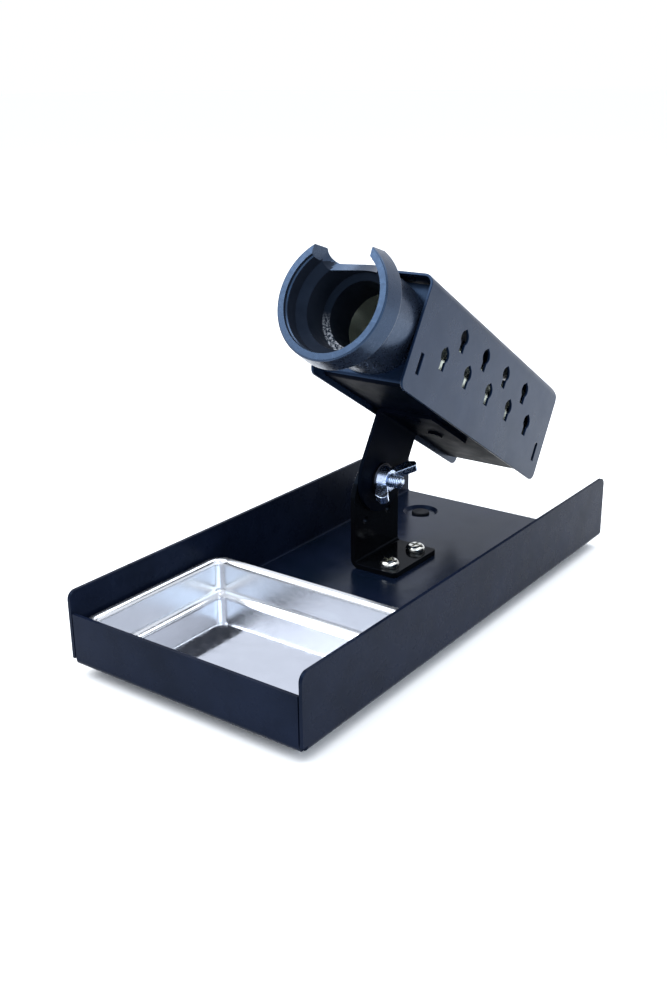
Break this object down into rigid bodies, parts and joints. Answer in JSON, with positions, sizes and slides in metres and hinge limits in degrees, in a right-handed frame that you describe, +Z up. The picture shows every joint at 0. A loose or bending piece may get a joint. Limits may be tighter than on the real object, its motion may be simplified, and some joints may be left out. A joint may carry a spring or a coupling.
{
  "type": "soldering iron stand",
  "caption": "Soldering iron stand: folded sheet base, lift-out sponge tray and a tilting boxed iron holder with a moulded mouth, held by a wing nut.",
  "frame": {"origin": "on the table, under the centre of the stand's overall width and length as it stands at rest", "axes": "+Z up, front flap faces -Y, width along X, the holder's mouth points forwards and up"},
  "size_m": [0.0946, 0.2114, 0.1322],
  "materials": {
    "blue_black_paint": "satin powder coat",
    "gloss_black_paint": "gloss",
    "stainless": "bright drawn",
    "nickel_plate": "bright plated",
    "zinc_plate": "bright zinc",
    "dark_steel": "blackened",
    "fibre": "matte",
    "foot_rubber": "matte",
    "black_moulding": "fine matte",
    "perforated_steel": "galvanised"
  },
  "bodies": {
    "base": {"base_tray": "blue_black_paint", "rubber_feet": "foot_rubber", "pivot_bracket": "gloss_black_paint", "bracket_screws": "nickel_plate", "bracket_nuts": "nickel_plate", "pivot_bolt": "zinc_plate", "pivot_bolt_washer": "zinc_plate", "friction_washer": "fibre"},
    "sponge_pan": {"sponge_tray": "stainless"},
    "head": {"tilt_arm": "blue_black_paint", "arm_rivets": "blue_black_paint", "inner_frame": "blue_black_paint", "head_cover": "blue_black_paint", "holder_funnel": "black_moulding", "holder_lock_nut": "black_moulding", "guard_tube": "perforated_steel", "guard_collar": "perforated_steel", "collar_rivets": "zinc_plate"},
    "clamp_washer": {"pivot_washer": "dark_steel"},
    "clamp_nut": {"wing_nut": "zinc_plate"}
  },
  "joints": [
    {"name": "head_tilt", "type": "hinge", "parent": "base", "child": "head", "pos_m": [0, 0.02277, 0.038], "axis": [-1, 0, 0], "range_deg": [-42, 17]},
    {"name": "clamp_travel", "type": "slide", "parent": "base", "child": "clamp_washer", "axis": [1, 0, 0], "range_m": [0, 0.0008]},
    {"name": "wing_nut_turn", "type": "hinge", "parent": "clamp_washer", "child": "clamp_nut", "pos_m": [-0.012, 0.02277, 0.038], "axis": [1, 0, 0], "range_deg": [0, 360]},
    {"name": "sponge_tray_lift", "type": "slide", "parent": "base", "child": "sponge_pan", "axis": [0, 0, 1], "range_m": [0, 0.019]}
  ],
  "couplings": [
    {"joint": "clamp_travel", "follows": "wing_nut_turn", "m_per_rad": 0.000127}
  ]
}
